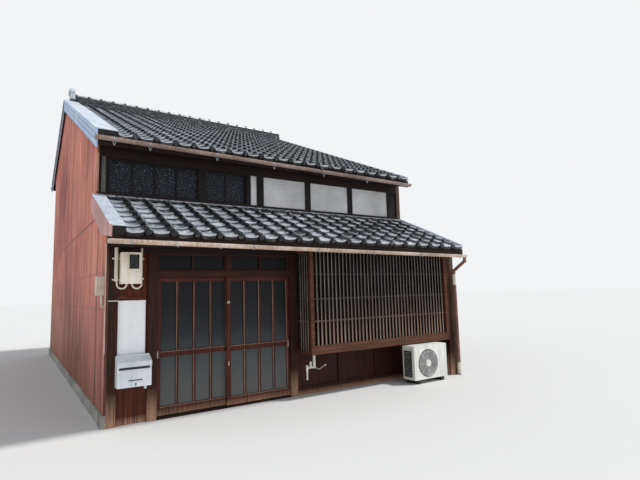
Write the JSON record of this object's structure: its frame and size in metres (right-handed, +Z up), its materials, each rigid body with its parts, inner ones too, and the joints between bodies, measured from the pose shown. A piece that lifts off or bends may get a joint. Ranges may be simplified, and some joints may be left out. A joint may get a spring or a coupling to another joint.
{
  "type": "timber townhouse",
  "caption": "Two-storey timber townhouse with a pent roof, projecting lattice bay, sliding entrance doors, set-back upper storey and tiled gable roof.",
  "frame": {"origin": "under the middle of the house's bounding box, at ground level", "axes": "+X along the street front to the right as seen from the street, +Y into the house, away from the street, +Z up"},
  "size_m": [6.1555, 10.8186, 6.9443],
  "materials": {
    "concrete": "rough",
    "plaster": "matte",
    "timber": "matte",
    "dark_timber": "matte",
    "red_timber": "satin",
    "grey_timber": "matte",
    "clad_sheet": "matte",
    "verge_sheet": "satin",
    "flashing": "satin",
    "gutter_beige": "satin",
    "gutter_brown": "satin",
    "zinc": "satin",
    "white_sheet": "matte",
    "white_enamel": "satin",
    "dark_plastic": "matte",
    "grey_plastic": "matte",
    "cream_plastic": "matte",
    "aluminium_frame": "satin",
    "clear_glass": "clear",
    "frosted_glass": "frosted",
    "roof_tile": "gloss",
    "pale_tile": "matte"
  },
  "bodies": {
    "house": {"footings": "concrete", "ground_floor": "concrete", "gable_wall": "plaster", "party_wall": "timber", "rear_wall": "plaster", "gable_cladding": "clad_sheet", "rear_cladding": "clad_sheet", "rear_windows": "aluminium_frame", "rear_glass": "clear_glass", "upper_floor": "timber", "front_posts": "dark_timber", "front_beam": "dark_timber", "left_panel": "dark_timber", "notice_sheet": "white_sheet", "door_track": "timber", "door_head": "dark_timber", "transom_glass": "frosted_glass", "wainscot": "dark_timber", "bay_sashes": "dark_timber", "bay_glass": "clear_glass", "bay_frame": "red_timber", "bay_lattice": "grey_timber", "roof_rafters": "dark_timber", "roof_boards": "timber", "pent_tiles": "roof_tile", "pent_verge_board": "verge_sheet", "pent_verge_flashing": "flashing", "upper_beams": "dark_timber", "upper_posts": "dark_timber", "upper_panels": "plaster", "upper_sashes": "dark_timber", "upper_glass": "frosted_glass", "main_tiles": "roof_tile", "side_flashing": "flashing", "junction_box": "grey_plastic", "roof_ridge": "roof_tile", "ridge_end": "pale_tile", "verge_boards": "verge_sheet", "verge_flashing": "flashing", "eave_boards": "dark_timber", "pent_gutter": "gutter_beige", "main_gutters": "gutter_brown", "gutter_brackets": "zinc", "downpipe": "gutter_brown", "meter_box": "cream_plastic", "letter_box": "zinc", "cooling_unit": "white_enamel", "cooling_grille": "dark_plastic", "pipework": "cream_plastic"},
    "left_leaf": {"left_door": "red_timber", "left_door_glass": "frosted_glass"},
    "right_leaf": {"right_door": "red_timber", "right_door_glass": "frosted_glass"},
    "letter_lid": {"letter_box_lid": "zinc"}
  },
  "joints": [
    {"name": "left_leaf_slide", "type": "slide", "parent": "house", "child": "left_leaf", "axis": [1, 0, 0], "range_m": [0, 0.984]},
    {"name": "right_leaf_slide", "type": "slide", "parent": "house", "child": "right_leaf", "axis": [-1, 0, 0], "range_m": [0, 0.984]},
    {"name": "letter_lid_hinge", "type": "hinge", "parent": "house", "child": "letter_lid", "pos_m": [-2.6472, -4.651, 0.862], "axis": [-1, 0, 0], "range_deg": [0, 80]}
  ]
}
